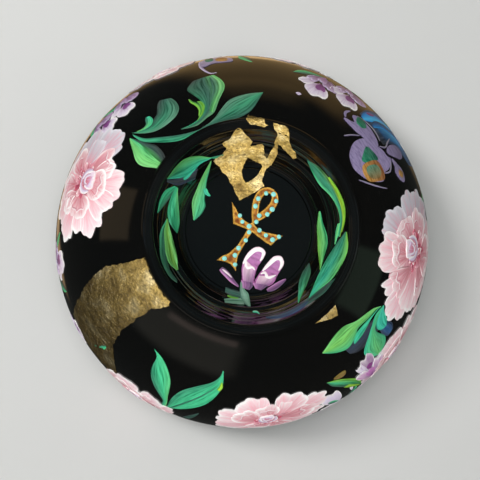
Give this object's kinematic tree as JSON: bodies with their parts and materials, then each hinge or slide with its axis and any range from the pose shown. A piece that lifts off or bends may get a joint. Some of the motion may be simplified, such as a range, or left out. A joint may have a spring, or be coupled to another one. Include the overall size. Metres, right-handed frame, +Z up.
{
  "type": "round lacquered hat",
  "caption": "Low round dome hat in black lacquer with a raised crown ring, a stepped dished crown with a relief cross, a bamboo head frame inside and swinging chin rings.",
  "frame": {"origin": "centre of the rim's flat rest plane, on the hat's axis", "axes": "+Z up along the hat's axis, +Y to the front, +X to the wearer's right"},
  "size_m": [0.36, 0.36, 0.15],
  "materials": {
    "black_lacquer": "gloss",
    "gold_relief": "satin",
    "bamboo": "satin",
    "brass": "satin",
    "cotton": "matte",
    "webbing": "matte",
    "paint": "gloss",
    "gold_leaf": "satin"
  },
  "bodies": {
    "hat": {"shell": "black_lacquer", "rim_binding": "black_lacquer", "crown_ring": "black_lacquer", "crown_dish": "black_lacquer", "crown_medallion": "black_lacquer", "looped_cross": "gold_relief", "crown_hoop": "bamboo", "head_ring": "bamboo", "strut_1": "bamboo", "strut_2": "bamboo", "strut_3": "bamboo", "strut_4": "bamboo", "strut_5": "bamboo", "strut_6": "bamboo", "sweatband": "cotton", "crown_pad": "cotton", "cradle_strap_1": "webbing", "cradle_strap_2": "webbing", "upper_rivet_1": "brass", "upper_rivet_2": "brass", "upper_rivet_3": "brass", "upper_rivet_4": "brass", "upper_rivet_5": "brass", "upper_rivet_6": "brass", "lower_rivet_1": "brass", "lower_rivet_2": "brass", "lower_rivet_3": "brass", "lower_rivet_4": "brass", "lower_rivet_5": "brass", "lower_rivet_6": "brass", "plate_rivet_left": "brass", "plate_rivet_right": "brass", "ring_plate_left": "brass", "ring_plate_right": "brass"},
    "chin_ring_right": {"chin_ring_right": "brass"},
    "chin_ring_left": {"chin_ring_left": "brass"}
  },
  "joints": [
    {"name": "chin_ring_right_swing", "type": "hinge", "parent": "hat", "child": "chin_ring_right", "pos_m": [0.0999, 0, 0.0225], "axis": [0, -1, 0], "range_deg": [-70, 150]},
    {"name": "chin_ring_left_swing", "type": "hinge", "parent": "hat", "child": "chin_ring_left", "pos_m": [-0.0999, 0, 0.0225], "axis": [0, 1, 0], "range_deg": [-70, 150]}
  ]
}
